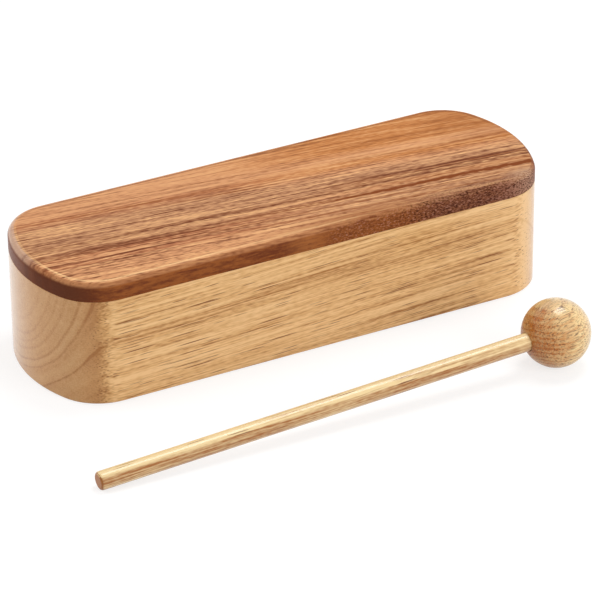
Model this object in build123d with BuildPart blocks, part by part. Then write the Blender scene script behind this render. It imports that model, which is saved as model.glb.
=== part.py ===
from build123d import *
import os
from math import asin, atan2, cos, hypot, radians, sin, sqrt

# A woodblock and its ball mallet, in millimetres.
# X runs along the block, Y away from the player and Z up. The origin is the middle of the block's underside.

# Outline shared by the body and the plate: straight long sides, bowed ends and rounded corners
block_length = 240.0
block_width = 80.0
end_radius = 65.0
corner_radius = 23.0

# Body, hollowed from above
body_height = 48.5
wall = 12.0
floor_thickness = 14.0
foot_round = 1.0

# Sound slot, cut down from the top edge of the back wall
slot_end_margin = 45.0
slot_height = 14.0
slot_corner = 5.0

# Sound plate, whose rounded edge is skimmed at the top so that it meets the face in a crease
plate_thickness = 8.5
plate_round = 4.0
plate_skim = 0.45

# Mallet: a dowel glued into a blind socket in the ball
stick_diameter = 8.0
stick_length = 220.0
butt_round = 1.2
head_diameter = 30.0
socket_depth = 20.0
glue_gap = 0.1

# Where the mallet lies in front of the block: the middle of its ball, and its turn from the block's length
head_x = 80.9
head_y = -100.3
mallet_turn = -0.35

# Sizes that follow from those above
end_bow = end_radius - sqrt(end_radius**2 - (block_width / 2) ** 2)
side_length = block_length - 2 * end_bow
chamber_depth = body_height - floor_thickness
slot_length = block_length - 2 * slot_end_margin
head_radius = head_diameter / 2
stick_radius = stick_diameter / 2

# The ball and the rounded butt both touch the ground, which sets the slope of the stick
butt_reach = stick_length - socket_depth + head_radius - butt_round
butt_core = stick_radius - butt_round
slope = asin((head_radius - butt_round) / hypot(butt_reach, butt_core)) - atan2(butt_core, butt_reach)
turn = radians(mallet_turn)
to_butt = (-cos(slope) * cos(turn), -cos(slope) * sin(turn), -sin(slope))
head_plane = Plane(origin=(head_x, head_y, head_radius), z_dir=to_butt)
seat_plane = head_plane.offset(head_radius - socket_depth)

# Plan outline of the block
with BuildSketch() as outline:
    with BuildLine():
        front = Line((-side_length / 2, -block_width / 2), (side_length / 2, -block_width / 2))
        back = Line((side_length / 2, block_width / 2), (-side_length / 2, block_width / 2))
        ThreePointArc(front @ 1, (block_length / 2, 0), back @ 0)
        ThreePointArc(back @ 1, (-block_length / 2, 0), front @ 0)
    make_face()
    fillet(outline.vertices(), corner_radius)

# Body: the chamber is routed from the top, and the slot opens its back wall under the plate
with BuildPart() as body_block:
    add(outline.sketch)
    extrude(amount=body_height)
    fillet(body_block.faces().sort_by(Axis.Z)[0].edges(), foot_round)
    with BuildSketch(Plane.XY.offset(floor_thickness)):
        add(outline.sketch)
        offset(amount=-wall, mode=Mode.REPLACE)
    extrude(amount=chamber_depth, mode=Mode.SUBTRACT)
    with BuildSketch(Plane.XZ.offset(-block_width)) as slot:
        with Locations((0, body_height)):
            Rectangle(slot_length, 2 * slot_height)
        fillet(slot.vertices().group_by(Axis.Z)[0], slot_corner)
    extrude(amount=block_width, mode=Mode.SUBTRACT)

# Plate: made higher by the skim, rounded along its top edge, then skimmed flat
with BuildPart() as sound_plate:
    with BuildSketch(Plane.XY.offset(body_height)):
        add(outline.sketch)
    extrude(amount=plate_thickness + plate_skim)
    fillet(sound_plate.faces().sort_by(Axis.Z)[-1].edges(), plate_round)
    split(bisect_by=Plane.XY.offset(body_height + plate_thickness), keep=Keep.BOTTOM)

# Mallet stick: seated on the bottom of the socket
with BuildPart() as mallet_stick:
    with BuildSketch(seat_plane):
        Circle(stick_radius)
    extrude(amount=stick_length)
    fillet(mallet_stick.edges().sort_by(Axis((0, 0, 0), to_butt))[-1], butt_round)

# Mallet head: a ball with a blind socket
with BuildPart(head_plane) as mallet_head:
    Sphere(head_radius)
    with BuildSketch(seat_plane):
        Circle(stick_radius + glue_gap)
    extrude(amount=socket_depth, mode=Mode.SUBTRACT)

body_block.part.label = "body_block"
sound_plate.part.label = "sound_plate"
mallet_stick.part.label = "mallet_stick"
mallet_head.part.label = "mallet_head"

os.makedirs("parts", exist_ok=True)
export_step(body_block.part, "parts/body_block.step")
export_step(sound_plate.part, "parts/sound_plate.step")
export_step(mallet_stick.part, "parts/mallet_stick.step")
export_step(mallet_head.part, "parts/mallet_head.step")
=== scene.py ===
"""A woodblock and its ball mallet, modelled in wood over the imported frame."""

from math import asin, atan2, cos, hypot, inf, pi, radians, sin, sqrt
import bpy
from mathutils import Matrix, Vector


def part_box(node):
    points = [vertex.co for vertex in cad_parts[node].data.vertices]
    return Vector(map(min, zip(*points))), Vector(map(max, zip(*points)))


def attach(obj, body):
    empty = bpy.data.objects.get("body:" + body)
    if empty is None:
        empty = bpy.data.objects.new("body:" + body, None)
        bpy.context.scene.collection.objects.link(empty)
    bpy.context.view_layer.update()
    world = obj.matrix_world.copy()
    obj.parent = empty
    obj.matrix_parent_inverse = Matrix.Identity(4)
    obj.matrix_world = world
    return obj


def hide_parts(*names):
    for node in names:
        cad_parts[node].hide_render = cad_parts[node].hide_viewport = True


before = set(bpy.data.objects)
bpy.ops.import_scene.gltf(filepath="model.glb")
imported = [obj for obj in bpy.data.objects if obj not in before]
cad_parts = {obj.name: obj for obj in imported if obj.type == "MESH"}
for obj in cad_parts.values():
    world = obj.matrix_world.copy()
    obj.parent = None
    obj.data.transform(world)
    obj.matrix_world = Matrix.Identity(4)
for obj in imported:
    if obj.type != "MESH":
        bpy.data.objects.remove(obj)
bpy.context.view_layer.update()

from types import SimpleNamespace

import bmesh
import bpy
from bpy.props import FloatProperty, FloatVectorProperty, PointerProperty
from bpy.types import Operator, Panel, PropertyGroup
from mathutils import Color, Euler, Matrix, Vector

bl_info = {
    "name": "Woodblock",
    "version": (1, 0, 0),
    "blender": (4, 5, 0),
    "location": "View3D > Sidebar > Woodblock",
    "description": "Models a hollow woodblock with a glued sound plate and a ball mallet",
    "category": "Add Mesh",
}

# Boxes of the solids, one millimetre, and lengths too small to matter
BODY_LOW, BODY_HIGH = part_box("body_block")
PLATE_LOW, PLATE_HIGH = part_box("sound_plate")
HEAD_LOW, HEAD_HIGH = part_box("mallet_head")
MM = 0.001
TOUCH = 0.00001
MERGE = TOUCH / 10

# How finely the round shapes are stepped
CORNER_STEPS = 20
BOW_STEPS = 24
PLATE_STEPS = 14
SLOT_STEPS = 8
BUTT_STEPS = 6
FOOT_STEPS = 5
RIM_STEPS = 3
SANDED_STEPS = 2
STICK_SIDES = 48
STICK_CUTS = 60
BALL_SEGMENTS = 64
BALL_RINGS = 40

# Edges that are sanded, edges that are shaded smooth, and how far flat faces rule the shading
SANDED_ANGLE = radians(50)
SMOOTH_ANGLE = radians(35)
FLAT_WEIGHT = 80

# The clear coat, the floor and the camera's film
COAT_ROUGHNESS = 0.15
FLOOR_SIZE = 3
FILM_WIDTH = 36


# Sizes and colours that a user would change


def size(name, description, default):
    """A length that is shown in scene units."""
    return FloatProperty(
        name=name, description=description, default=default, min=0.0, unit="LENGTH", precision=5
    )


def angle(name, description, default):
    """An angle that is shown in degrees."""
    return FloatProperty(name=name, description=description, default=radians(default), unit="ROTATION")


def power(name, description, default):
    """The power of a lamp in watts."""
    return FloatProperty(name=name, description=description, default=default, min=0.0, unit="POWER")


def paint(name, description, default):
    """A colour as it looks on the screen."""
    return FloatVectorProperty(
        name=name, description=description, default=default, size=3, min=0.0, max=1.0, subtype="COLOR_GAMMA"
    )


class BlockSizes(PropertyGroup):
    """Sizes of the hollow body and of the plate on it."""

    length: size("Length", "Overall length of the block", BODY_HIGH.x - BODY_LOW.x)
    width: size("Width", "Overall width of the block", BODY_HIGH.y - BODY_LOW.y)
    end_radius: size("End radius", "Radius of the bowed ends", 65 * MM)
    corner_radius: size("Corner radius", "Radius of the upright corners", 23 * MM)
    height: size("Body height", "Height of the body without its plate", BODY_HIGH.z - BODY_LOW.z)
    wall: size("Wall", "Thickness of the walls round the chamber", 12 * MM)
    floor: size("Floor", "Thickness of the floor under the chamber", 14 * MM)
    floor_round: size("Cutter radius", "Radius that the router leaves round the chamber's floor", 3 * MM)
    foot_round: size("Foot round", "Rounding of the lower edge", 1 * MM)
    slot_length: size("Slot length", "Length of the sound slot in the back wall", 150 * MM)
    slot_height: size("Slot height", "Height of the sound slot under the plate", 14 * MM)
    slot_corner: size("Slot corner", "Radius of the slot's lower corners", 5 * MM)
    plate_thickness: size("Plate thickness", "Thickness of the sound plate", PLATE_HIGH.z - PLATE_LOW.z)
    plate_round: size("Plate round", "Radius along the plate's upper edge", 4 * MM)
    plate_skim: size("Plate skim", "Height planed off the rounded plate, leaving a crease", 0.45 * MM)
    worn_width: size("Worn strip", "Width of the strip that is worn down inside the crease", 2.2 * MM)
    worn_depth: size("Wear", "How far the crease is worn down", 0.2 * MM)
    sanded: size("Sanded edge", "Softening of the sharp edges", 0.25 * MM)


class MalletSizes(PropertyGroup):
    """Sizes of the stick and the ball, and the way the mallet lies."""

    stick_diameter: size("Stick diameter", "Diameter of the dowel", 8 * MM)
    stick_length: size("Stick length", "Length of the dowel with its end in the ball", 220 * MM)
    butt_round: size("Butt round", "Rounding of the dowel's free end", 1.2 * MM)
    head_diameter: size("Ball diameter", "Diameter of the turned ball", HEAD_HIGH.z - HEAD_LOW.z)
    socket_depth: size("Socket depth", "Depth of the ball's socket", 20 * MM)
    glue_gap: size("Glue gap", "Room for glue round the dowel", 0.1 * MM)
    socket_rim: size("Socket rim", "Broken edge at the mouth of the socket", 0.35 * MM)
    unevenness: size("Unevenness", "How far sanding leaves the dowel and the ball from true", 0.1 * MM)
    stick_patch: size("Stick patches", "Size of the uneven patches on the dowel", 18 * MM)
    ball_patch: size("Ball patches", "Size of the uneven patches on the ball", 9 * MM)
    turn: angle("Turn", "Turn of the mallet from the block's length", -0.35)


class WoodColours(PropertyGroup):
    """Colours of the four woods under their lacquer."""

    body_pale: paint("Body, pale", "Pale wood between the bands of the body", (0.93, 0.76, 0.54))
    body_warm: paint("Body, warm", "Warmer bands of the body", (0.85, 0.66, 0.43))
    body_line: paint("Body, lines", "Growth lines of the body", (0.63, 0.41, 0.19))
    body_end: paint("Body, end grain", "End grain of the body", (0.68, 0.445, 0.225))
    body_pore: paint("Body, pores", "Open pores of the body", (0.44, 0.23, 0.07))
    plate_orange: paint("Plate, orange", "Orange wood of the plate's far side", (0.76, 0.49, 0.275))
    plate_tan: paint("Plate, tan", "Light bands of the plate", (0.83, 0.592, 0.415))
    plate_pale: paint("Plate, pale", "Palest threads of the plate", (0.93, 0.715, 0.50))
    plate_pink: paint("Plate, pink", "Pinkish bands of the plate", (0.725, 0.47, 0.32))
    plate_grey: paint("Plate, grey", "Greyish bands of the plate", (0.745, 0.537, 0.385))
    plate_dive: paint("Plate, steep", "Wood where the grain runs into the edge", (0.42, 0.27, 0.22))
    plate_fleck: paint("Plate, flecks", "Pale flecks in the steep grain", (0.66, 0.47, 0.40))
    # Also the painted sheen on the rounding of the plate's left end
    plate_swirl_and_sheen: paint("Plate, swirl", "Pale swirl at the plate's near right corner", (0.78, 0.63, 0.51))
    plate_rust: paint("Plate, rust", "Rust-red streak along the plate", (0.50, 0.25, 0.10))
    plate_streak: paint("Plate, streaks", "Dark streaks of the plate", (0.42, 0.21, 0.12))
    # Also paints the shade on the plate's sides
    plate_edge: paint("Plate, edge", "Wood along the plate's edge", (0.575, 0.33, 0.165))
    # Partly worn wood and partly a painted highlight along the crease
    plate_wear_and_highlight: paint("Plate, worn edge", "Wood worn pale along the plate's crease", (0.97, 0.79, 0.57))
    plate_pore: paint("Plate, pores", "Open pores of the plate", (0.27, 0.13, 0.08))
    stick_pale: paint("Stick, pale", "Pale wood of the dowel", (0.93, 0.815, 0.60))
    stick_warm: paint("Stick, warm", "Warmer streaks of the dowel", (0.62, 0.365, 0.08))
    ball_pale: paint("Ball, pale", "Pale wood of the ball", (0.92, 0.79, 0.56))
    ball_warm: paint("Ball, warm", "Golden-brown wood of the ball", (0.72, 0.41, 0.11))
    ball_pore: paint("Ball, pores", "Open pores of the ball", (0.28, 0.135, 0.045))


class StageSettings(PropertyGroup):
    """The camera and the studio light."""

    azimuth: angle("Azimuth", "Camera's turn round the block from straight in front", -28.007)
    elevation: angle("Elevation", "Camera's height over the floor, as an angle", 28.677)
    roll: angle("Roll", "Camera's roll about its line of sight", -0.523)
    distance: size("Distance", "Camera's distance from its target", 1634.92 * MM)
    target: FloatVectorProperty(
        name="Target",
        description="Point that the camera looks at",
        default=(-11.854 * MM, -44.06 * MM, 28.5 * MM),
        subtype="TRANSLATION",
        unit="LENGTH",
    )
    lens: FloatProperty(
        name="Lens", description="Focal length in millimetres", default=231.76, unit="CAMERA"
    )
    key_power: power("Overhead lamp", "Power of the lamp overhead", 4.7)
    right_power: power("Right lamp", "Power of the lamp on the right", 8.4)
    left_power: power("Left lamp", "Power of the lamp on the left", 9.2)
    fill: FloatProperty(
        name="Fill", description="Strength of the light from all round", default=0.5, min=0.0
    )


# Shader maths


class Shade:
    """A socket of a material. Arithmetic on it adds Math nodes."""

    def __init__(self, tree, socket=None):
        self.tree = tree
        self.socket = socket

    def node(self, kind, settings=None, sockets=None, output=0):
        """Adds a node, sets its settings and then its sockets, and gives one of its outputs."""
        node = self.tree.nodes.new(kind)
        for name, value in (settings or {}).items():
            if name == "stops":
                self.set_stops(node.color_ramp, value)
            else:
                setattr(node, name, value)
        for name, value in (sockets or {}).items():
            if isinstance(value, Shade):
                self.tree.links.new(value.socket, node.inputs[name])
            else:
                node.inputs[name].default_value = value
        return Shade(self.tree, node.outputs[output] if node.outputs else None)

    def set_stops(self, ramp, stops):
        """Gives a colour ramp its stops, each a place and a colour."""
        while len(ramp.elements) < len(stops):
            ramp.elements.new(1.0)
        for element, (place, colour) in zip(ramp.elements, stops):
            element.position = place
            element.color = colour

    def maths(self, operation, first, second=0.0):
        """The result of one Math node."""
        return self.node("ShaderNodeMath", {"operation": operation}, {0: first, 1: second})

    def __add__(self, other):
        return self.maths("ADD", self, other)

    def __radd__(self, other):
        return self.maths("ADD", other, self)

    def __sub__(self, other):
        return self.maths("SUBTRACT", self, other)

    def __rsub__(self, other):
        return self.maths("SUBTRACT", other, self)

    def __mul__(self, other):
        return self.maths("MULTIPLY", self, other)

    def __truediv__(self, other):
        return self.maths("DIVIDE", self, other)

    def __pow__(self, other):
        return self.maths("POWER", self, other)

    def __abs__(self):
        return self.maths("ABSOLUTE", self)

    def rise(self, low, high):
        """0 at low and beyond, 1 at high and beyond, smooth between."""
        sockets = {"Value": self, "From Min": low, "From Max": high}
        return self.node("ShaderNodeMapRange", {"interpolation_type": "SMOOTHSTEP"}, sockets)

    def peak(self, middle, reach):
        """1 at the middle, falling to 0 at that reach on both sides."""
        return abs(self - middle).rise(reach, 0.0)

    def mix(self, first, second):
        """The first colour where this value is 0 and the second where it is 1."""
        return self.node("ShaderNodeMix", {"data_type": "RGBA"}, {0: self, 6: first, 7: second}, 2)

    def ramp(self, *stops):
        """The colours of the stops, each at its own value."""
        return self.node("ShaderNodeValToRGB", {"stops": stops}, {"Fac": self}, "Color")

    def vector(self, operation, *others):
        """Vector maths on this vector and the others."""
        sockets = dict(enumerate((self, *others)))
        return self.node("ShaderNodeVectorMath", {"operation": operation}, sockets, "Vector")

    def parts(self):
        """The three parts of a vector or a colour."""
        split = self.node("ShaderNodeSeparateXYZ", None, {"Vector": self})
        return [Shade(self.tree, output) for output in split.socket.node.outputs]


def rgba(colour):
    """A screen colour as a shader takes it."""
    return (*Color(colour).from_srgb_to_scene_linear(), 1.0)


def grey(level):
    """A grey that reflects that share of the light."""
    return (level, level, level, 1.0)


# What all four woods are made of


def wood_colours(context):
    """The colours of the woods as a shader takes them."""
    settings = context.scene.woodblock_colours
    return SimpleNamespace(**{name: rgba(getattr(settings, name)) for name in WoodColours.__annotations__})


def new_material(name):
    """An empty material and the wrapper that adds its nodes."""
    material = bpy.data.materials.new(name)
    material.use_nodes = True
    material.node_tree.nodes.clear()
    return material, Shade(material.node_tree)


def along_grain(wood, middle=(0, 0, 0), turn=(0, 0, 0)):
    """The place in a piece in millimetres, with the grain along X."""
    place = wood.node("ShaderNodeTexCoord", output="Object")
    sockets = {"Vector": place, "Location": middle, "Rotation": turn, "Scale": (MM, MM, MM)}
    return wood.node("ShaderNodeMapping", {"vector_type": "TEXTURE"}, sockets)


def cells(grain, length, width, seed):
    """The grain in cells of that length and width in millimetres."""
    scaled = grain.vector("MULTIPLY", (1 / length, 1 / width, 1 / width))
    return scaled.vector("ADD", (seed, seed * 1.7, seed * 2.3))


def spread(noise):
    """Noise about 0 and mostly within 1."""
    return (noise - 0.5) * 4.0


def streaks(grain, length, width, seed, detail=1.0):
    """Soft streaks of that length and width, about 0 and mostly within 1."""
    sockets = {"Vector": cells(grain, length, width, seed), "Scale": 1.0, "Detail": detail}
    return spread(grain.node("ShaderNodeTexNoise", None, sockets))


def wander(grain, length, width, reach):
    """The grain bent sideways by up to that reach."""
    sockets = {"Vector": cells(grain, length, width, 0), "Scale": 1.0, "Detail": 1.0}
    noise = grain.node("ShaderNodeTexNoise", None, sockets, "Color")
    drift = noise.vector("SUBTRACT", (0.5, 0.5, 0.5))
    return drift.vector("MULTIPLY_ADD", (0.0, reach * 3.0, reach * 3.0), grain)


def pores(grain, length, width, share, seed):
    """Open pores: dashes along the grain and dots across it, some deep and some faint."""
    sockets = {"Vector": cells(grain, length, width, seed), "Scale": 1.0}
    near = grain.node("ShaderNodeTexVoronoi", None, sockets, "Distance")
    chance = Shade(grain.tree, near.socket.node.outputs["Color"]).parts()[0]
    return near.rise(share, share * 0.5) * chance.rise(0.1, 0.8)


def facing(wood):
    """How far the surface faces along X, Y and Z, without sign."""
    normal = wood.node("ShaderNodeTexCoord", output="Normal")
    return [abs(part) for part in normal.parts()]


def circles(radius, *lines):
    """Dark rings: each one's radius and its reach."""
    return sum(radius.peak(place, reach) for place, reach in lines)


def veins(x, across, *lines):
    """Dark lines along the grain: each one's place across it, its reach, and where along it fades in."""
    return sum(across.peak(place, reach) * x.rise(start, full) for place, reach, start, full in lines)


def lacquer(wood, colour, roughness, height, depth, shine, coat):
    """Finishes a wood: its colour, its open grain, the shine of the wood and the clear coat over it."""
    sockets = {"Height": height, "Strength": 1.0, "Distance": depth}
    normal = wood.node("ShaderNodeBump", None, sockets, "Normal")
    sockets = {
        "Base Color": colour,
        "Roughness": roughness,
        "Normal": normal,
        "Specular IOR Level": shine,
        "Coat Weight": coat,
        "Coat Roughness": COAT_ROUGHNESS,
    }
    surface = wood.node("ShaderNodeBsdfPrincipled", None, sockets)
    wood.node("ShaderNodeOutputMaterial", None, {"Surface": surface})


# The wood of the body


def body_wood(colours):
    """Pale open-pored wood, its pith behind the left end and its grain rising to the right."""
    material, wood = new_material("body_wood")
    pith = (-120 * MM, 16 * MM, 54 * MM)
    grain = wander(along_grain(wood, pith, (0, radians(-2.2), 0)), 120, 30, reach=1.0)
    x, y, z = grain.parts()

    # Growth rings round the pith
    radius = (y * y + z * z) ** 0.5 + streaks(grain, 160, 14, seed=0, detail=2.0) * 0.4
    rings = circles(radius, (49.0, 1.1), (52.6, 0.9), (61.0, 0.8))
    rings = rings + circles(radius, (37.0, 1.3), (40.5, 1.0), (44.0, 1.2)) * 0.6
    sockets = {"W": radius / 4.0, "Scale": 1.0, "Detail": 2.0}
    years = spread(wood.node("ShaderNodeTexNoise", {"noise_dimensions": "1D"}, sockets))

    # The ends, the corners where the surface turns to them, and painted light that fades the end grain on
    # the right
    sideways = facing(wood)[0]
    end = sideways.rise(0.3, 0.65)
    turning = sideways.peak(0.45, 0.3)
    leftward = x.rise(220.0, 160.0)
    # 1 on the left and 0.35 on the right: end grain and rings fade on the right end as painted light
    right_light_fade = leftward * 0.65 + 0.35

    # Figure along the grain
    bands = streaks(grain, 200, 8, seed=3)
    ribbons = streaks(grain, 80, 1.8, seed=5)
    fibres = streaks(grain, 70, 0.6, seed=7)
    flecks = streaks(grain, 3.0, 0.6, seed=9, detail=0.0)
    figure = ribbons * 0.23 + fibres * 0.38 + flecks * 0.16
    quiet = 1.0 - end * 0.5 - turning * 0.55
    tone = years * 0.12 + bands * 0.1 + figure * quiet
    tone = tone + rings * (end * right_light_fade * 0.3 + turning * right_light_fade * 0.2 + 0.1)
    # Painted shade on the left corners and painted light on the right ones
    tone = tone + turning * (leftward * 0.77 - 0.37)
    tone = tone + x.rise(120.0, 180.0) * x.rise(215.0, 190.0) * 0.14 + 0.32
    colour = tone.ramp((0.0, colours.body_pale), (0.45, colours.body_warm), (1.0, colours.body_line))
    colour = (end * right_light_fade * 0.5).mix(colour, colours.body_end)

    # Pores, long ones in patches
    patches = streaks(grain, 90, 10, seed=8).rise(-1.0, 0.4)
    dashes = pores(grain, 34, 1.0, share=0.3, seed=1) * patches * (1.0 - end * 0.7)
    specks = pores(grain, 18, 0.8, share=0.28, seed=2) * (1.0 - end * 0.7)
    pits = pores(grain, 3.0, 0.8, share=0.32, seed=4) * turning * leftward
    colour = dashes.mix(colour, colours.body_pore)
    colour = (specks * 0.85).mix(colour, colours.body_pore)
    colour = (pits * 0.6).mix(colour, colours.body_pore)

    # Finish
    roughness = 0.45 + fibres * 0.04 + dashes * 0.2
    height = fibres * 0.2 - dashes * 0.4
    coat = end * (y.rise(-35.0, -5.0) * 0.65 + x.rise(190.0, 215.0) * 0.5 + 0.2) + 0.2
    lacquer(wood, colour, roughness, height, depth=0.03 * MM, shine=0.35, coat=coat)
    return material


# The wood of the sound plate


def plate_bands(grain, x, lean, colours):
    """Broad bands of colour across the plate, which change from its left half to its right."""

    # 0 lies 50 mm in front of the middle and 1 lies 50 mm behind it
    across = (lean + streaks(grain, 90, 5, seed=2) * 0.8 + 50.0) / 100.0
    orange = colours.plate_orange
    tan = colours.plate_tan
    pink = colours.plate_pink
    dull = colours.plate_grey
    left = across.ramp(
        (0.10, tan),
        (0.21, tan),
        (0.23, pink),
        (0.25, pink),
        (0.27, tan),
        (0.30, pink),
        (0.36, dull),
        (0.45, dull),
        (0.56, dull),
        (0.62, pink),
        (0.66, tan),
        (0.80, tan),
    )
    right = across.ramp(
        (0.12, tan),
        (0.22, dull),
        (0.30, dull),
        (0.37, tan),
        (0.42, dull),
        (0.52, dull),
        (0.56, tan),
        (0.62, orange),
        (0.70, tan),
        (0.76, orange),
        (0.85, orange),
    )
    return x.rise(-45.0, 45.0).mix(left, right)


def plate_edges(colour, x, y, flat, upright, rim_sheen, figure, colours):
    """Darker along the plate's edge, partly darker wood and partly painted shade, with a painted sheen
    round its left end and an orange patch in front.
    """
    front = (y - x * 0.1).rise(-27.0, -36.0) * x.rise(-40.0, 30.0) * x.rise(90.0, 20.0) * 0.7
    front = front * flat.rise(0.85, 0.97) + x.rise(70.0, 115.0) * y.rise(0.0, 20.0) * 0.3
    colour = front.mix(colour, colours.plate_edge)
    left = x.rise(-90.0, -108.0)
    # The sides darker than the top: partly darker wood, partly painted shade
    edge = flat.rise(0.95, 0.85) * (0.6 - left * 0.15) + upright * 0.5
    shaded = figure + upright * (left * 0.9 + x.peak(-18.0, 30.0) * 0.5) + 0.3
    colour = edge.mix(colour, shaded.mix(colours.plate_edge, colours.plate_streak))
    # Painted sheen on the rounding of the left end
    colour = (rim_sheen * 0.5).mix(colour, colours.plate_swirl_and_sheen)
    left_end = upright * x.rise(-95.0, -112.0) * y.rise(-6.0, -20.0)
    colour = (left_end * 0.45).mix(colour, colours.plate_pore)
    return (upright * x.peak(-2.0, 14.0) * 0.3).mix(colour, colours.plate_orange)


def plate_veins(colour, x, lean, broken, colours):
    """Lines along the plate: faint ones, brown halos, the rust streak and the dark lines."""
    faint = veins(
        x,
        lean,
        (12.0, 1.8, 0.0, -50.0),
        (15.8, 1.7, 25.0, 45.0),
        (30.0, 2.0, 35.0, 60.0),
        (-22.5, 1.3, -60.0, -20.0),
        (-27.5, 1.3, -60.0, -10.0),
    )
    faint = faint + lean.peak(20.6, 1.4) * x.peak(-5.0, 60.0)
    faint = faint + lean.peak(7.6, 1.2) * x.peak(-20.0, 45.0)
    halo = veins(x, lean, (-10.6, 3.5, 80.0, 0.0), (-17.6, 4.0, 90.0, -60.0)) * 0.75
    halo = halo + veins(x, lean, (-6.5, 6.0, 10.0, 45.0), (-13.0, 4.0, 20.0, 60.0)) * 1.2
    rust = veins(
        x,
        lean,
        (-16.8, 2.4, -40.0, 10.0),
        (-17.8, 2.0, 0.0, 50.0),
        (-17.0, 3.2, 60.0, 100.0),
    )
    dark = veins(
        x,
        lean,
        (-10.6, 1.3, 60.0, 40.0),
        (-4.4, 1.5, 20.0, 55.0),
        (-6.8, 1.0, 40.0, 75.0),
        (-9.4, 1.6, 25.0, 60.0),
        (-16.6, 1.3, 20.0, -60.0),
        (-18.6, 1.2, -10.0, -60.0),
        (-24.6, 1.0, 10.0, -30.0),
        (-28.5, 1.0, -40.0, -80.0),
    )
    colour = (faint * broken * 0.6).mix(colour, colours.plate_edge)
    colour = (halo * broken * 0.55).mix(colour, colours.plate_edge)
    colour = (rust * broken).mix(colour, colours.plate_rust)
    return (dark * broken).mix(colour, colours.plate_streak)


def steep_grain(colour, grain, x, y, flat, upright, dots, colours):
    """The dotted dark wood where the grain runs into the plate's edge in front on the right."""
    early = (x.rise(20.0, 60.0) * 0.5 + 0.4) * (1.0 - x.rise(92.0, 106.0) * 0.8)
    ragged = flat + streaks(grain, 6, 2, seed=12) * 0.02
    dive = ragged.rise(0.99, 0.9) * early + flat.rise(0.7, 0.3) * (1.0 - early)
    dive = dive * x.rise(4.0, 16.0) * y.rise(10.0, -20.0)
    verge = (y - x * 0.1 + streaks(grain, 16, 3, seed=13) * 1.5).rise(-33.0, -36.5)
    dive = dive + verge * x.rise(25.0, 60.0) * x.rise(112.0, 95.0) * flat.rise(0.97, 0.99) * 0.45
    steep = x.rise(40.0, 65.0).mix(colours.plate_edge, colours.plate_dive)
    colour = (dive * 0.55).mix(colour, steep)
    colour = (dive * x.rise(85.0, 105.0) * 0.45).mix(colour, colours.plate_fleck)

    # The pale swirl at the near right corner
    swirl = x.rise(94.0, 110.0) * y.rise(-18.0, -26.0) * (1.0 - upright * 0.5)
    colour = (swirl * 0.4).mix(colour, colours.plate_dive)
    colour = (swirl * (dots.rise(0.4, -0.6) * 0.6 + 0.4)).mix(colour, colours.plate_swirl_and_sheen)

    # Dark and pale dots
    dark_dots = dive * dots.rise(-0.2, 0.7) * (x.rise(30.0, 60.0) * 0.55 + 0.45)
    colour = dark_dots.mix(colour, colours.plate_pore)
    return (dive * dots.rise(-0.2, -1.0) * 0.75).mix(colour, colours.plate_fleck)


def crease_wear_and_painted_light(colour, x, y, flat, grit, colours):
    """The strip inside the crease: painted shade at the back, and pale in front on the left, partly wear
    and partly a painted highlight.
    """
    worn = flat.rise(0.99999, 0.9998) * flat.rise(0.9965, 0.9985)
    # Painted shade along the back of the crease
    colour = (worn * y.rise(20.0, 32.0) * 0.5).mix(colour, colours.plate_streak)
    # Pale in front on the left, most at the near left corner: partly wear, partly a painted highlight
    pale_wear_and_highlight = y.rise(26.0, 6.0) * (y.rise(-14.0, -30.0) * x.rise(0.0, -70.0) * 0.4 + 0.27)
    pale_wear_and_highlight = pale_wear_and_highlight * x.rise(60.0, 10.0) * (1.0 - grit)
    return (worn * pale_wear_and_highlight).mix(colour, colours.plate_wear_and_highlight)


def plate_wood(colours):
    """Streaked red-brown hardwood: orange on the far side, grey and dark-lined towards the player."""
    material, wood = new_material("plate_wood")
    grain = wander(along_grain(wood, turn=(0, 0, radians(-5.7))), 110, 30, reach=0.8)
    x, y, z = grain.parts()
    top = PLATE_HIGH.z / MM
    lean = y + x * y * 0.0008 + (top - z) * 0.15
    near = lean.rise(20.0, 0.0)
    flat = facing(wood)[2]
    upright = flat.rise(0.6, 0.25)

    # Figure along the grain, quieter on the left rounding
    ribbons = streaks(grain, 120, 3.5, seed=7)
    threads = streaks(grain, 60, 1.2, seed=9)
    fibres = streaks(grain, 24, 0.9, seed=4)
    flecks = streaks(grain, 3.2, 0.8, seed=8, detail=0.0)
    dots = streaks(grain, 1.1, 0.55, seed=6)
    calm = flat.rise(0.995, 0.95) * x.rise(-85.0, -105.0)
    weave = ribbons * 0.25 + threads * 0.55 + fibres * 0.45 + flecks * 0.32
    weave = weave * (near * 0.6 + 0.85) * (1.0 - calm * 0.6) - 0.03
    colour = plate_bands(grain, x, lean, colours)
    colour = (weave * 0.75).mix(colour, colours.plate_streak)
    colour = (weave * -0.75).mix(colour, colours.plate_pale)

    # Edges, then lines, steep grain, pores, and the crease with wear and painted light
    # Painted sheen on the rounding of the left end, which also gets more clear coat
    rim_sheen = (flat.rise(0.9985, 0.9965) - upright) * x.rise(-100.0, -114.0) * y.rise(-26.0, -10.0)
    broken = (0.8 + threads * 0.4 + flecks * 0.3) * (1.0 - x.rise(-75.0, -105.0) * 0.4)
    dashes = pores(grain, 5, 0.9, share=0.3, seed=1) * (near * 0.8 + 0.2)
    colour = plate_edges(colour, x, y, flat, upright, rim_sheen, weave * 0.5 + dots * 0.2, colours)
    colour = plate_veins(colour, x, lean, broken, colours)
    colour = steep_grain(colour, grain, x, y, flat, upright, dots, colours)
    colour = (dashes * 0.6).mix(colour, colours.plate_streak)
    colour = crease_wear_and_painted_light(colour, x, y, flat, threads * 0.5 + dots * 0.3, colours)

    # Finish
    roughness = 0.5 + fibres * 0.05 + dashes * 0.2
    coat = rim_sheen + upright * (x.rise(-100.0, -116.0) * y.rise(-26.0, -8.0) * 0.2 + 0.04)
    lacquer(wood, colour, roughness, fibres * 0.2 - dashes, depth=0.06 * MM, shine=0.04, coat=coat)
    return material


# The woods of the mallet


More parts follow.
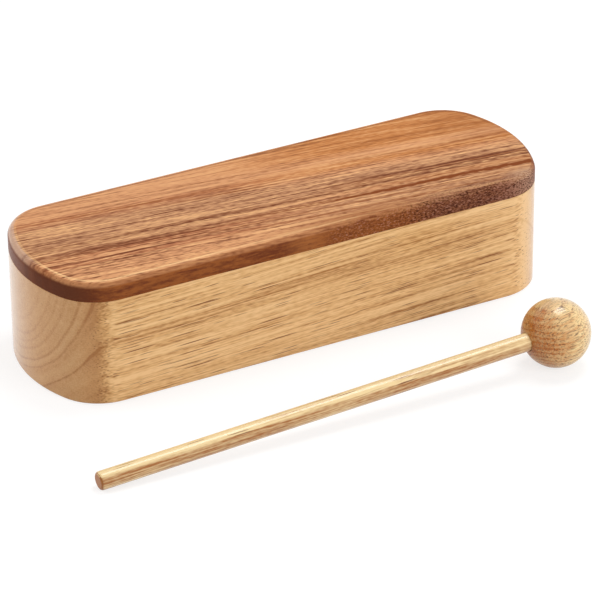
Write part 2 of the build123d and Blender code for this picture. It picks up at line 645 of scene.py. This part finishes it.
def stick_wood(colours, middle, turn):
    """Pale dowel with warm streaks along it, with painted shade below and painted light along its top."""
    material, wood = new_material("stick_wood")
    grain = wander(along_grain(wood, middle, turn), 90, 12, reach=0.6)
    x, _, z = grain.parts()
    ribbons = streaks(grain, 90, 2.0, seed=3)
    fibres = streaks(grain, 30, 0.7, seed=6)
    flecks = streaks(grain, 3.0, 0.6, seed=9, detail=0.0)
    # Painted shade on the lower side, and painted light along the top
    near_ball = x.rise(-100.0, -35.0)
    shadow_line = z + x * 0.005 - x.peak(-112.0, 75.0) * 0.9 + near_ball * 0.3
    shaded_side = shadow_line.rise(1.75, 1.05) * (1.0 - near_ball * 0.2) - z.rise(1.8, 3.4) * 0.4
    butt = facing(wood)[0].rise(0.4, 0.8)
    tone = ribbons * 0.35 + fibres * 0.42 + flecks * 0.15 + shaded_side * 0.58 + butt * 0.9 + 0.15
    colour = tone.ramp((0.0, colours.stick_pale), (1.0, colours.stick_warm))
    dashes = pores(grain, 24, 1.0, share=0.28, seed=1)
    colour = (dashes * 0.8).mix(colour, colours.body_pore)
    roughness = 0.4 + fibres * 0.04 + dashes * 0.15
    coat = 0.75 - butt * 0.6
    lacquer(wood, colour, roughness, fibres * 0.2 - dashes, depth=0.03 * MM, shine=0.35, coat=coat)
    return material


def ball_wood(colours, middle):
    """Golden-brown ball, pale on one side partly from painted light, with short pores in curved rows."""
    material, wood = new_material("ball_wood")
    fibre = Vector((0.988, 0.049, 0.156)).normalized()
    bark = Vector((-0.16, 0.30, 0.94)).normalized()
    turn = Matrix((fibre, bark.cross(fibre), bark)).transposed().to_euler()
    grain = wander(along_grain(wood, middle, turn), 40, 14, reach=0.5)
    x, y, z = grain.parts()
    up = z + 22.0
    radius = (up * up + y * y) ** 0.5
    year = wood.maths("FRACT", (radius + streaks(grain, 50, 8, seed=0, detail=2.0) * 0.4) / 2.1)
    late = year.rise(0.3, 0.9) * year.rise(1.0, 0.9)
    # Paler towards the right: partly the wood's own gradient, partly painted light from the right
    sapwood_and_lit_side = (x + z * 0.2).rise(-14.0, 9.0)
    bands = streaks(grain, 60, 7, seed=3)
    fibres = streaks(grain, 8, 0.9, seed=6)
    tone = bands * 0.25 + fibres * 0.25 + late * 0.25
    tone = tone - sapwood_and_lit_side * 0.77 - z.rise(-2.0, -10.0) * 0.3 + 0.75
    colour = tone.ramp((0.0, colours.ball_pale), (1.0, colours.ball_warm))
    dashes = streaks(grain, 3.4, 0.4, seed=1, detail=0.0).rise(0.1, 0.8) * (late * 0.4 + 0.6)
    specks = pores(grain, 2.0, 0.5, share=0.32, seed=2)
    colour = (dashes * 0.75).mix(colour, colours.ball_pore)
    colour = (specks * 0.6).mix(colour, colours.ball_pore)
    roughness = 0.4 + fibres * 0.04 + dashes * 0.15
    coat = (x + z * 0.7).rise(-6.0, 6.0) * 0.5 + 0.35
    lacquer(wood, colour, roughness, fibres * 0.2 - dashes, depth=0.03 * MM, shine=0.35, coat=coat)
    return material


# Modelling by hand


def deselect():
    """Leaves no object selected."""
    bpy.ops.object.select_all(action="DESELECT")


def begin(piece_name):
    """Names the new primitive, puts its place in its mesh and opens it for editing."""
    piece = bpy.context.object
    piece.name = piece_name
    piece.data.name = piece_name
    bpy.ops.object.transform_apply(location=True, rotation=True, scale=True)
    bpy.ops.object.mode_set(mode="EDIT")
    return piece


def pick_edges(piece, test, shortest=0.0, longest=inf):
    """Selects the edges of a fitting length with both ends where the test holds."""
    bpy.ops.mesh.select_mode(type="EDGE")
    bpy.ops.mesh.select_all(action="DESELECT")
    shape = bmesh.from_edit_mesh(piece.data)
    for edge in shape.edges:
        fits = shortest <= edge.calc_length() <= longest
        edge.select_set(fits and all(test(corner.co) for corner in edge.verts))
    shape.select_flush_mode()
    bmesh.update_edit_mesh(piece.data)


def extrude(x, y, z):
    """Pulls the selected faces out by that much."""
    bpy.ops.mesh.extrude_region_move(TRANSFORM_OT_translate={"value": (x, y, z)})


def plane_off(point, normal):
    """Cuts away what lies beyond a plane and closes the cut."""
    bpy.ops.mesh.bisect(plane_co=point, plane_no=normal, use_fill=True, clear_outer=True, threshold=MERGE)


def round_edges(radius, steps):
    """Rounds the selected edges."""
    bpy.ops.mesh.bevel(offset=radius, segments=steps, affect="EDGES", profile=0.5)


def spin(centre, turn, steps):
    """Carries the selected end point round an upright axis, anticlockwise."""
    bpy.ops.mesh.spin(steps=steps, angle=-turn, center=centre, axis=(0, 0, 1))


def close():
    """Merges doubles, turns all faces outwards and leaves edit mode."""
    bpy.ops.mesh.select_all(action="SELECT")
    bpy.ops.mesh.remove_doubles(threshold=MERGE)
    bpy.ops.mesh.normals_make_consistent(inside=False)
    bpy.ops.object.mode_set(mode="OBJECT")


def modify(piece, kind, **settings):
    """Adds a modifier to the piece and applies it."""
    bpy.ops.object.modifier_add(type=kind)
    modifier = piece.modifiers[-1]
    for name, value in settings.items():
        setattr(modifier, name, value)
    bpy.ops.object.modifier_apply(modifier=modifier.name)


def smooth(piece):
    """Smooth shading that leaves flat faces flat."""
    bpy.ops.object.shade_smooth_by_angle(angle=SMOOTH_ANGLE)
    modify(piece, "WEIGHTED_NORMAL", keep_sharp=True, weight=FLAT_WEIGHT)


def hand_over(piece, body, node, material):
    """Gives the piece its wood and puts it in the place of its solid."""
    piece.data.materials.clear()
    piece.data.materials.append(material)
    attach(piece, body)
    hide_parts(node)


# The block


def draw_outline(block, name, height):
    """Draws the block's outline as one face: straight sides, bowed ends and rounded corners."""
    end_x = block.length / 2 - block.end_radius
    corner_y = block.width / 2 - block.corner_radius
    corner_x = end_x + sqrt((block.end_radius - block.corner_radius) ** 2 - corner_y**2)
    bow = atan2(corner_y, corner_x - end_x)
    deselect()
    bpy.ops.mesh.primitive_plane_add(size=block.wall, location=(-corner_x, -block.width / 2, height))
    piece = begin(name)
    bpy.ops.mesh.select_mode(type="VERT")
    bpy.ops.mesh.merge(type="CENTER")
    for side in (1, -1):
        along = (2 * side * corner_x, 0, 0)
        bpy.ops.mesh.extrude_vertices_move(TRANSFORM_OT_translate={"value": along})
        spin((side * corner_x, -side * corner_y, height), pi / 2 - bow, CORNER_STEPS)
        spin((side * end_x, 0, height), 2 * bow, BOW_STEPS)
        spin((side * corner_x, side * corner_y, height), pi / 2 - bow, CORNER_STEPS)
    bpy.ops.mesh.select_all(action="SELECT")
    bpy.ops.mesh.remove_doubles(threshold=TOUCH)
    bpy.ops.mesh.edge_face_add()
    return piece


def slot_cutter(block):
    """The tool that opens the back wall, with its two short lower edges rounded."""
    bottom = block.height - block.slot_height
    depth = 3 * block.wall
    deselect()
    bpy.ops.mesh.primitive_cube_add(size=1, location=(0, block.width / 2, block.height))
    bpy.context.object.scale = (block.slot_length, depth, 2 * block.slot_height)
    cutter = begin("slot_cutter")
    pick_edges(cutter, lambda co: co.z < bottom + TOUCH, longest=depth + TOUCH)
    round_edges(block.slot_corner, SLOT_STEPS)
    close()
    return cutter


class WOODBLOCK_OT_body(Operator):
    """Model the body: routed hollow from above, with a sound slot in its back wall"""

    bl_idname = "woodblock.body"
    bl_label = "Body"

    def execute(self, context):
        block = context.scene.woodblock_sizes
        piece = draw_outline(block, "hollow_body", 0)
        extrude(0, 0, block.height)
        bpy.ops.mesh.inset(thickness=block.wall, use_even_offset=True)
        extrude(0, 0, block.floor - block.height)
        pick_edges(piece, lambda co: abs(co.z - block.floor) < TOUCH)
        round_edges(block.floor_round, FOOT_STEPS)
        pick_edges(piece, lambda co: co.z < TOUCH)
        round_edges(block.foot_round, FOOT_STEPS)
        close()
        cutter = slot_cutter(block)
        deselect()
        piece.select_set(True)
        context.view_layer.objects.active = piece
        modify(piece, "BOOLEAN", object=cutter, operation="DIFFERENCE", solver="EXACT")
        bpy.data.objects.remove(cutter)
        bpy.ops.object.mode_set(mode="EDIT")
        bpy.ops.mesh.select_all(action="DESELECT")
        bpy.ops.mesh.edges_select_sharp(sharpness=SANDED_ANGLE)
        round_edges(block.sanded, SANDED_STEPS)
        close()
        smooth(piece)
        hand_over(piece, "block", "body_block", body_wood(wood_colours(context)))
        return {"FINISHED"}


class WOODBLOCK_OT_plate(Operator):
    """Model the sound plate: rounded along its upper edge, then planed to a crease"""

    bl_idname = "woodblock.plate"
    bl_label = "Sound plate"

    def execute(self, context):
        block = context.scene.woodblock_sizes
        top = block.height + block.plate_thickness
        crease = top - block.worn_depth
        piece = draw_outline(block, "sound_board", block.height)
        extrude(0, 0, block.plate_thickness + block.plate_skim)
        pick_edges(piece, lambda co: co.z > top)
        round_edges(block.plate_round, PLATE_STEPS)
        bpy.ops.mesh.select_all(action="SELECT")
        plane_off((0, 0, crease), (0, 0, 1))
        pick_edges(piece, lambda co: co.z > crease - TOUCH)
        bpy.ops.mesh.select_mode(type="FACE")
        bpy.ops.mesh.inset(thickness=block.worn_width, use_even_offset=True)
        bpy.ops.transform.translate(value=(0, 0, block.worn_depth))
        pick_edges(piece, lambda co: abs(co.z - crease) < TOUCH)
        round_edges(block.sanded, SANDED_STEPS)
        pick_edges(piece, lambda co: co.z < block.height + TOUCH)
        round_edges(block.sanded, SANDED_STEPS)
        close()
        smooth(piece)
        hand_over(piece, "block", "sound_plate", plate_wood(wood_colours(context)))
        return {"FINISHED"}


# The mallet


def mallet_lie(mallet):
    """The middle of the ball, the turn of the mallet and the direction from the ball to the butt."""
    head = mallet.head_diameter / 2
    middle = Vector((HEAD_HIGH.x - head, HEAD_HIGH.y - head, HEAD_HIGH.z - head))
    reach = mallet.stick_length - mallet.socket_depth + head - mallet.butt_round
    core = mallet.stick_diameter / 2 - mallet.butt_round
    slope = asin((head - mallet.butt_round) / hypot(reach, core)) - atan2(core, reach)
    turn = Euler((0, -slope, mallet.turn))
    return middle, turn, turn.to_matrix() @ Vector((-1, 0, 0))


def uneven(piece, mallet, patch):
    """Leaves the piece slightly out of true, as sanding by hand does."""
    texture = bpy.data.textures.new(piece.name, "CLOUDS")
    texture.noise_scale = patch
    modify(piece, "DISPLACE", texture=texture, strength=mallet.unevenness, mid_level=0.5)
    bpy.data.textures.remove(texture)


class WOODBLOCK_OT_stick(Operator):
    """Model the mallet's stick: a dowel with a rounded butt"""

    bl_idname = "woodblock.stick"
    bl_label = "Mallet stick"

    def execute(self, context):
        mallet = context.scene.woodblock_mallet
        middle, turn, to_butt = mallet_lie(mallet)
        seat = mallet.head_diameter / 2 - mallet.socket_depth
        centre = middle + to_butt * (seat + mallet.stick_length / 2)
        deselect()
        bpy.ops.mesh.primitive_cylinder_add(
            vertices=STICK_SIDES,
            radius=mallet.stick_diameter / 2,
            depth=mallet.stick_length,
            location=centre,
            rotation=to_butt.to_track_quat("Z", "Y").to_euler(),
        )
        piece = begin("mallet_dowel")
        butt = mallet.stick_length / 2 - TOUCH
        pick_edges(piece, lambda co: (co - centre).dot(to_butt) > butt)
        round_edges(mallet.butt_round, BUTT_STEPS)
        pick_edges(piece, lambda co: True, shortest=mallet.stick_length / 2)
        bpy.ops.mesh.subdivide(number_cuts=STICK_CUTS)
        close()
        uneven(piece, mallet, mallet.stick_patch)
        smooth(piece)
        wood = stick_wood(wood_colours(context), middle, turn)
        hand_over(piece, "mallet", "mallet_stick", wood)
        return {"FINISHED"}


class WOODBLOCK_OT_head(Operator):
    """Model the mallet's head: a turned ball with a blind socket for the stick"""

    bl_idname = "woodblock.head"
    bl_label = "Mallet head"

    def execute(self, context):
        mallet = context.scene.woodblock_mallet
        middle, _, to_butt = mallet_lie(mallet)
        radius = mallet.head_diameter / 2
        bore = mallet.stick_diameter / 2 + mallet.glue_gap
        mouth = sqrt(radius**2 - bore**2)
        deselect()
        bpy.ops.mesh.primitive_uv_sphere_add(
            segments=BALL_SEGMENTS,
            ring_count=BALL_RINGS,
            radius=radius,
            location=middle,
            rotation=to_butt.to_track_quat("Z", "Y").to_euler(),
        )
        piece = begin("mallet_ball")
        plane_off(middle + to_butt * mouth, to_butt)
        extrude(*(to_butt * (radius - mallet.socket_depth - mouth)))
        pick_edges(piece, lambda co: abs((co - middle).dot(to_butt) - mouth) < TOUCH)
        round_edges(mallet.socket_rim, RIM_STEPS)
        close()
        uneven(piece, mallet, mallet.ball_patch)
        smooth(piece)
        wood = ball_wood(wood_colours(context), middle)
        hand_over(piece, "mallet", "mallet_head", wood)
        return {"FINISHED"}


# The studio


def studio_white(tree, kind, seen, light):
    """White to the camera and in reflections, and plain light to everything else."""
    start = Shade(tree)
    path = start.node("ShaderNodeLightPath").socket.node.outputs
    direct = Shade(tree, path["Is Camera Ray"]) + Shade(tree, path["Is Glossy Ray"])
    direct = direct + Shade(tree, path["Is Transmission Ray"])
    surface = start.node("ShaderNodeMixShader", None, {0: direct.rise(0.0, 1.0), 1: light, 2: seen})
    start.node(kind, None, {"Surface": surface})


def floor_white():
    """A pale floor that keeps soft shadows and is otherwise white to the camera."""
    material, floor = new_material("studio_floor")
    matt = floor.node("ShaderNodeBsdfDiffuse", None, {"Color": grey(0.35)})
    bounce = floor.node("ShaderNodeBsdfDiffuse", None, {"Color": grey(0.7)})
    place = floor.node("ShaderNodeTexCoord", output="Object")
    away = floor.node("ShaderNodeVectorMath", {"operation": "LENGTH"}, {0: place}, "Value")
    shade = away.rise(0.3, 0.9).mix(grey(0.72), grey(1.0))
    glow = floor.node("ShaderNodeEmission", None, {"Color": shade, "Strength": 1.0})
    seen = floor.node("ShaderNodeAddShader", None, {0: matt, 1: glow})
    studio_white(material.node_tree, "ShaderNodeOutputMaterial", seen, bounce)
    return material


def white_world(strength):
    """Plain light of that strength from all round, which is white to the camera."""
    world = bpy.data.worlds.new("studio")
    world.use_nodes = True
    world.node_tree.nodes.clear()
    sky = Shade(world.node_tree)
    seen = sky.node("ShaderNodeBackground", None, {"Color": grey(1.0), "Strength": 1.0})
    fill = sky.node("ShaderNodeBackground", None, {"Color": grey(1.0), "Strength": strength})
    studio_white(world.node_tree, "ShaderNodeOutputWorld", seen, fill)
    return world


def add_lamp(name, place, target, width, height, watts, mirrored):
    """A soft box that points at the target. It shows in the lacquer only where it is mirrored."""
    turn = (Vector(target) - Vector(place)).to_track_quat("-Z", "Y").to_euler()
    bpy.ops.object.light_add(type="AREA", location=place, rotation=turn)
    lamp = bpy.context.object
    lamp.name = name
    lamp.data.shape = "RECTANGLE"
    lamp.data.size = width
    lamp.data.size_y = height
    lamp.data.energy = watts
    lamp.visible_glossy = mirrored


def add_camera(stage):
    """Puts the camera where its angles say, rolled about its line of sight."""
    around = stage.azimuth
    lift = stage.elevation
    back = Vector((sin(around) * cos(lift), -cos(around) * cos(lift), sin(lift)))
    right = Vector((cos(around), sin(around), 0))
    up = back.cross(right)
    across = right * cos(stage.roll) + up * sin(stage.roll)
    upward = up * cos(stage.roll) - right * sin(stage.roll)
    axes = Matrix((across, upward, back)).transposed()
    place = Vector(stage.target) + back * stage.distance
    bpy.ops.object.camera_add(location=place, rotation=axes.to_euler())
    camera = bpy.context.object
    camera.name = "photo_camera"
    camera.data.sensor_fit = "HORIZONTAL"
    camera.data.sensor_width = FILM_WIDTH
    camera.data.lens = stage.lens
    bpy.context.scene.camera = camera


class WOODBLOCK_OT_stage(Operator):
    """Set up the floor, the studio light and the camera"""

    bl_idname = "woodblock.stage"
    bl_label = "Stage"

    def execute(self, context):
        stage = context.scene.woodblock_stage
        deselect()
        bpy.ops.mesh.primitive_plane_add(size=FLOOR_SIZE, location=(0, 0, -TOUCH))
        floor = begin("studio_floor")
        bpy.ops.object.mode_set(mode="OBJECT")
        floor.data.materials.append(floor_white())
        context.scene.world = white_world(stage.fill)
        add_lamp(
            "overhead",
            place=(0.36, 0.1, 1.1),
            target=(0, -0.05, 0.03),
            width=0.4,
            height=0.6,
            watts=stage.key_power,
            mirrored=True,
        )
        add_lamp(
            "right",
            place=(0.5, -1.2, 0.5),
            target=(0.05, -0.05, 0.03),
            width=0.8,
            height=0.8,
            watts=stage.right_power,
            mirrored=False,
        )
        add_lamp(
            "left",
            place=(-1.0, 0.9, 0.5),
            target=(-0.1, 0, 0.03),
            width=1.0,
            height=1.0,
            watts=stage.left_power,
            mirrored=False,
        )
        add_camera(stage)
        context.scene.view_settings.view_transform = "Standard"
        return {"FINISHED"}


# The sidebar


class WOODBLOCK_PT_make(Panel):
    """Lists the pieces and the stage"""

    bl_idname = "WOODBLOCK_PT_make"
    bl_label = "Woodblock"
    bl_space_type = "VIEW_3D"
    bl_region_type = "UI"
    bl_category = "Woodblock"

    def draw(self, context):
        column = self.layout.column()
        for operator in OPERATORS:
            column.operator(operator.bl_idname)
        for group in SETTINGS:
            settings = getattr(context.scene, group)
            box = self.layout.box()
            for name in settings.__annotations__:
                box.prop(settings, name)


SETTINGS = {
    "woodblock_sizes": BlockSizes,
    "woodblock_mallet": MalletSizes,
    "woodblock_colours": WoodColours,
    "woodblock_stage": StageSettings,
}
OPERATORS = (
    WOODBLOCK_OT_body,
    WOODBLOCK_OT_plate,
    WOODBLOCK_OT_stick,
    WOODBLOCK_OT_head,
    WOODBLOCK_OT_stage,
)


def register():
    for group, settings in SETTINGS.items():
        bpy.utils.register_class(settings)
        setattr(bpy.types.Scene, group, PointerProperty(type=settings))
    for operator in OPERATORS:
        bpy.utils.register_class(operator)
    bpy.utils.register_class(WOODBLOCK_PT_make)


def unregister():
    bpy.utils.unregister_class(WOODBLOCK_PT_make)
    for operator in reversed(OPERATORS):
        bpy.utils.unregister_class(operator)
    for group, settings in SETTINGS.items():
        delattr(bpy.types.Scene, group)
        bpy.utils.unregister_class(settings)


def main():
    register()
    bpy.ops.woodblock.body()
    bpy.ops.woodblock.plate()
    bpy.ops.woodblock.stick()
    bpy.ops.woodblock.head()
    bpy.ops.woodblock.stage()


if __name__ == "__main__":
    main()
